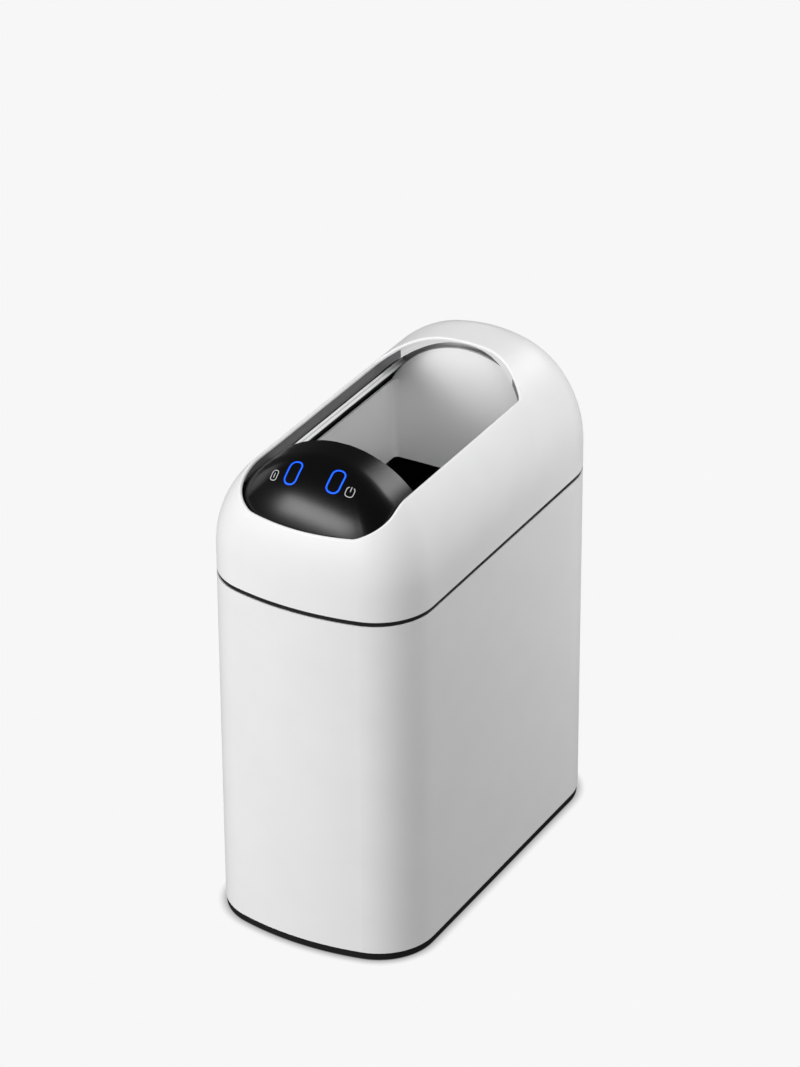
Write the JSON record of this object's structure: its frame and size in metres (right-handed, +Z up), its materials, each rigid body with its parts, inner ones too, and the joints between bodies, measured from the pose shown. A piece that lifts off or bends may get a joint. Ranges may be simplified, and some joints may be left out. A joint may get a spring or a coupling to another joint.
{
  "type": "motion-sensor waste bin",
  "caption": "Slim free-standing waste bin with a rounded steel body, lift-off arched head, domed control panel and powered half lids that swing shut over the open chute.",
  "frame": {"origin": "on the floor under the middle of the body", "axes": "+Z up, the control dome faces -Y, +X to the right of someone facing the dome"},
  "size_m": [0.18, 0.336, 0.4048],
  "materials": {
    "white_steel": "satin",
    "white_plastic": "satin",
    "trim_grey": "satin",
    "black_gloss": "gloss",
    "black_plastic": "fine texture",
    "frame_plastic": "fine texture",
    "gear_plastic": "natural",
    "rubber_black": "matte",
    "rubber_grey": "matte",
    "steel": "turned",
    "board_green": "solder mask",
    "display_blue": "lit",
    "battery_wrap": "shrink wrap"
  },
  "bodies": {
    "body": {"body_sleeve": "white_steel", "base_tray": "black_plastic", "foot_ring": "rubber_black", "top_collar": "black_plastic", "inner_bucket": "black_plastic", "bag_ring": "black_plastic"},
    "head": {"head_shell": "white_plastic", "left_rim_trim": "trim_grey", "right_rim_trim": "trim_grey", "head_floor": "black_plastic", "chute": "white_plastic", "dome_cover": "black_gloss", "dome_tray": "black_plastic", "display_board": "board_green", "digit_modules": "display_blue", "motion_sensor": "black_plastic", "main_board": "board_green", "drive_bracket": "frame_plastic", "rear_bracket": "white_plastic", "front_pin": "steel", "rear_pin": "steel", "idler_axle": "steel", "gear_motor": "steel", "battery_pack": "battery_wrap", "battery_cover": "black_plastic", "wiring_lead": "rubber_black", "head_screws": "steel", "bracket_screws": "steel", "cover_screws": "steel"},
    "left_lid": {"left_lid": "white_plastic", "left_lid_seal": "rubber_grey", "left_lid_liner": "black_plastic", "left_front_arm": "frame_plastic", "left_rear_arm": "frame_plastic", "left_lid_gear": "gear_plastic"},
    "right_lid": {"right_lid": "white_plastic", "right_lid_seal": "rubber_grey", "right_lid_liner": "black_plastic", "right_front_arm": "frame_plastic", "right_rear_arm": "frame_plastic", "right_lid_gear": "gear_plastic"},
    "pinion": {"motor_pinion": "gear_plastic"},
    "idler": {"idler_gear": "gear_plastic"}
  },
  "joints": [
    {"name": "head_lift", "type": "slide", "parent": "body", "child": "head", "axis": [0, 0, 1], "range_m": [0, 0.15]},
    {"name": "left_lid_swing", "type": "hinge", "parent": "head", "child": "left_lid", "pos_m": [0, 0, 0.322], "axis": [0, 1, 0], "range_deg": [0, 50.2]},
    {"name": "right_lid_swing", "type": "hinge", "parent": "head", "child": "right_lid", "pos_m": [0, 0, 0.322], "axis": [0, -1, 0], "range_deg": [0, 50.2]},
    {"name": "pinion_spin", "type": "hinge", "parent": "head", "child": "pinion", "pos_m": [-0.008, -0.11, 0.34883], "axis": [0, -1, 0], "range_deg": [0, 126]},
    {"name": "idler_spin", "type": "hinge", "parent": "head", "child": "idler", "pos_m": [0.008, -0.11, 0.34883], "axis": [0, 1, 0], "range_deg": [0, 126]}
  ],
  "couplings": [
    {"joint": "right_lid_swing", "follows": "left_lid_swing", "ratio": 1},
    {"joint": "pinion_spin", "follows": "left_lid_swing", "ratio": 2.5},
    {"joint": "idler_spin", "follows": "left_lid_swing", "ratio": 2.5}
  ]
}
